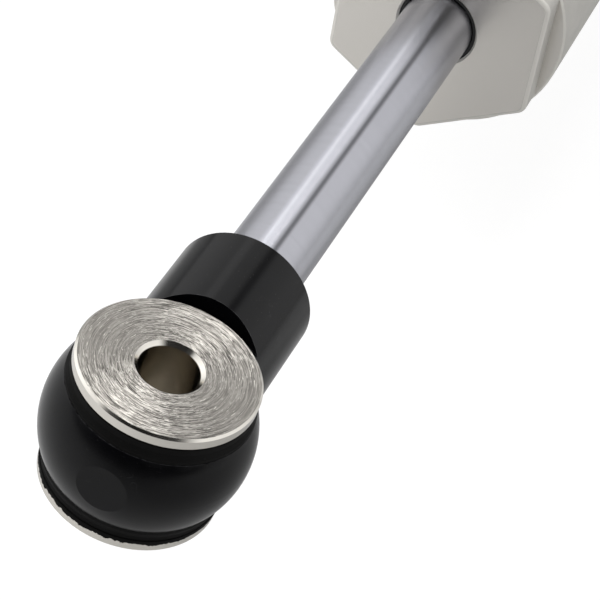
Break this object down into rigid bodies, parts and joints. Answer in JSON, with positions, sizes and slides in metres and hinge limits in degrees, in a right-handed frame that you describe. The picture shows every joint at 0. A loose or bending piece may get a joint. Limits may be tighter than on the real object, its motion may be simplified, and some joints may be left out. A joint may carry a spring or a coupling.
{
  "type": "shock absorber",
  "caption": "Gas-charged single-tube shock absorber with a sliding chromed rod, a hexagonal body end and a rubber-bushed ball eye at each end.",
  "frame": {"origin": "centre of the bolt hole through the body eye", "axes": "+Z along both eyes' bolt holes, -Y along the shock from the body eye to the rod eye, X across"},
  "size_m": [0.0604, 0.532, 0.0604],
  "materials": {
    "black_anodised": "satin black anodised aluminium",
    "clear_anodised": "bead-blasted and clear anodised",
    "hard_chrome": "ground hard chrome",
    "nickel_plate": "turned steel, nickel plated",
    "bush_rubber": "matt moulded rubber",
    "seal_rubber": "smooth seal rubber",
    "bare_aluminium": "machined",
    "bronze": "lined bronze",
    "filled_plastic": "bronze-filled low-friction plastic",
    "plain_steel": "ground steel",
    "plated_steel": "zinc plated"
  },
  "bodies": {
    "body_bush": {"body_eye_spacer_upper": "nickel_plate", "body_eye_spacer_lower": "nickel_plate"},
    "body_bush_rubber": {"body_eye_rubber": "bush_rubber"},
    "cylinder": {"body_tube": "clear_anodised", "rod_wiper": "seal_rubber", "rod_guide": "bare_aluminium", "rod_guide_bush": "bronze", "rod_seal_backing_ring": "filled_plastic", "rod_seal": "seal_rubber", "rod_seal_retainer": "plain_steel", "rod_guide_o_rings": "seal_rubber", "rod_guide_retaining_ring": "plain_steel", "end_cap": "black_anodised", "end_cap_o_ring": "seal_rubber", "gas_fill_screw": "plated_steel", "gas_fill_seal": "seal_rubber"},
    "floating_piston": {"floating_piston": "bare_aluminium", "floating_piston_band": "filled_plastic", "floating_piston_o_ring": "seal_rubber", "floating_piston_bleed_screw": "plated_steel"},
    "piston_band": {"piston_band": "filled_plastic"},
    "rod": {"piston_rod": "hard_chrome", "rod_eye": "black_anodised", "rebound_bumper": "bush_rubber", "rebound_stop_washer": "plain_steel", "compression_backing_washer": "plain_steel", "compression_shims": "plain_steel", "piston": "bare_aluminium", "rebound_shims": "plain_steel", "rebound_backing_washer": "plain_steel", "piston_nut": "plated_steel"},
    "rod_bush_rubber": {"rod_eye_rubber": "bush_rubber"},
    "rod_bush": {"rod_eye_spacer_upper": "nickel_plate", "rod_eye_spacer_lower": "nickel_plate"}
  },
  "joints": [
    {"name": "body_eye_twist", "type": "hinge", "parent": "body_bush", "child": "body_bush_rubber", "pos_m": [0, 0, 0], "axis": [0, 0, 1], "range_deg": [-15, 15], "stiffness_Nm_per_rad": 40},
    {"name": "body_eye_tilt", "type": "hinge", "parent": "body_bush_rubber", "child": "cylinder", "pos_m": [0, 0, 0], "axis": [1, 0, 0], "range_deg": [-3, 3], "stiffness_Nm_per_rad": 400, "deforming": ["body_eye_rubber"]},
    {"name": "rod_slide", "type": "slide", "parent": "cylinder", "child": "piston_band", "axis": [0, 1, 0], "range_m": [0, 0.11], "stiffness_N_per_m": 1045, "springref_m": -0.243},
    {"name": "rod_spin", "type": "hinge", "parent": "piston_band", "child": "rod", "pos_m": [0, -0.2597, 0], "axis": [0, 1, 0], "continuous": true},
    {"name": "floating_piston_slide", "type": "slide", "parent": "cylinder", "child": "floating_piston", "axis": [0, 1, 0], "range_m": [0, 0.0144]},
    {"name": "rod_eye_tilt", "type": "hinge", "parent": "rod", "child": "rod_bush_rubber", "pos_m": [0, -0.49114, 0], "axis": [1, 0, 0], "range_deg": [-3, 3], "stiffness_Nm_per_rad": 400, "deforming": ["rod_eye_rubber"]},
    {"name": "rod_eye_twist", "type": "hinge", "parent": "rod_bush_rubber", "child": "rod_bush", "pos_m": [0, -0.49114, 0], "axis": [0, 0, 1], "range_deg": [-15, 15], "stiffness_Nm_per_rad": 40}
  ],
  "couplings": [
    {"joint": "floating_piston_slide", "follows": "rod_slide", "ratio": 0.1296}
  ]
}
